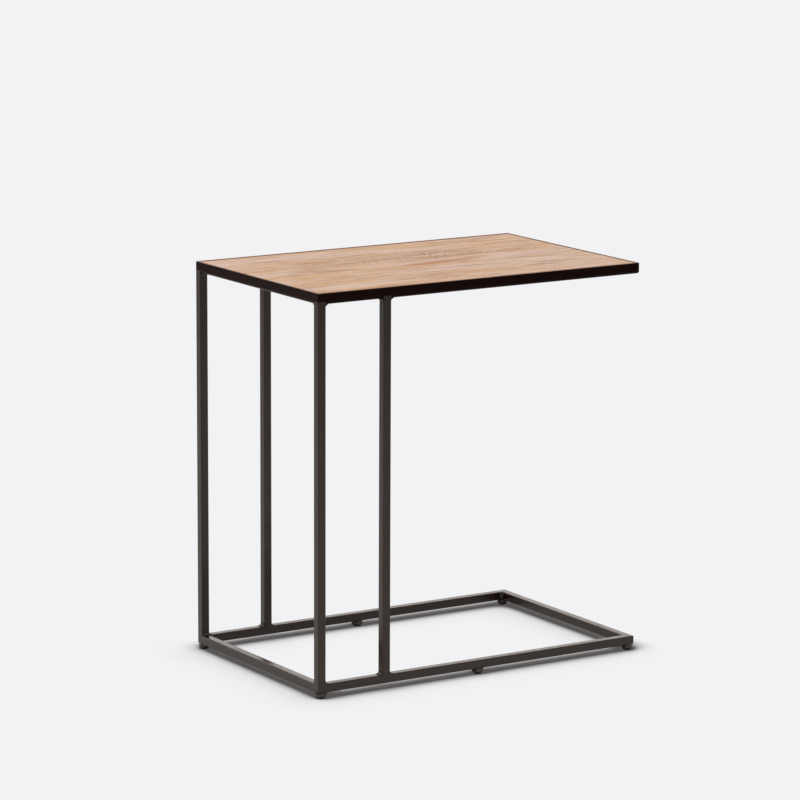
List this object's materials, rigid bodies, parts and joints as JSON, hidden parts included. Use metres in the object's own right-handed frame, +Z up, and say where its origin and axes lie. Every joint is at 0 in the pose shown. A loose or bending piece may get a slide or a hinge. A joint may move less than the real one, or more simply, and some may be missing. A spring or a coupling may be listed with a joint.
{
  "type": "c-shaped side table",
  "caption": "C-shaped side table: square-tube steel frame open at one end, wooden panel set in a thin angle rim, screw-in levelling feet.",
  "frame": {"origin": "on the floor, at the middle of the footprint", "axes": "+Z up, +X towards the open end that slides under a sofa, -Y the front long side"},
  "size_m": [0.567, 0.361, 0.6],
  "materials": {
    "frame_coat": "satin black-bronze powder coat",
    "rim_coat": "satin black powder coat",
    "wood_panel": "light oak, matt lacquer",
    "screw_steel": "black zinc",
    "insert_steel": "bright zinc",
    "glide_plastic": "moulded brown-black nylon"
  },
  "bodies": {
    "frame": {"base_front_rail": "frame_coat", "base_right_rail": "frame_coat", "base_rear_rail": "frame_coat", "base_left_rail": "frame_coat", "top_front_angle": "rim_coat", "top_right_angle": "rim_coat", "top_rear_angle": "rim_coat", "top_left_angle": "rim_coat", "front_corner_leg": "frame_coat", "front_inner_leg": "frame_coat", "rear_corner_leg": "frame_coat", "rear_inner_leg": "frame_coat", "base_welds": "frame_coat", "top_welds": "frame_coat", "top_panel": "wood_panel", "panel_screws": "screw_steel", "foot_inserts": "insert_steel"},
    "front_left_foot": {"front_left_foot_glide": "glide_plastic", "front_left_foot_stem": "insert_steel"},
    "front_middle_foot": {"front_middle_foot_glide": "glide_plastic", "front_middle_foot_stem": "insert_steel"},
    "front_right_foot": {"front_right_foot_glide": "glide_plastic", "front_right_foot_stem": "insert_steel"},
    "rear_left_foot": {"rear_left_foot_glide": "glide_plastic", "rear_left_foot_stem": "insert_steel"},
    "rear_middle_foot": {"rear_middle_foot_glide": "glide_plastic", "rear_middle_foot_stem": "insert_steel"},
    "rear_right_foot": {"rear_right_foot_glide": "glide_plastic", "rear_right_foot_stem": "insert_steel"}
  },
  "joints": [
    {"name": "front_left_foot_height", "type": "slide", "parent": "frame", "child": "front_left_foot", "axis": [0, 0, -1], "range_m": [0, 0.006]},
    {"name": "front_middle_foot_height", "type": "slide", "parent": "frame", "child": "front_middle_foot", "axis": [0, 0, -1], "range_m": [0, 0.006]},
    {"name": "front_right_foot_height", "type": "slide", "parent": "frame", "child": "front_right_foot", "axis": [0, 0, -1], "range_m": [0, 0.006]},
    {"name": "rear_left_foot_height", "type": "slide", "parent": "frame", "child": "rear_left_foot", "axis": [0, 0, -1], "range_m": [0, 0.006]},
    {"name": "rear_middle_foot_height", "type": "slide", "parent": "frame", "child": "rear_middle_foot", "axis": [0, 0, -1], "range_m": [0, 0.006]},
    {"name": "rear_right_foot_height", "type": "slide", "parent": "frame", "child": "rear_right_foot", "axis": [0, 0, -1], "range_m": [0, 0.006]}
  ]
}
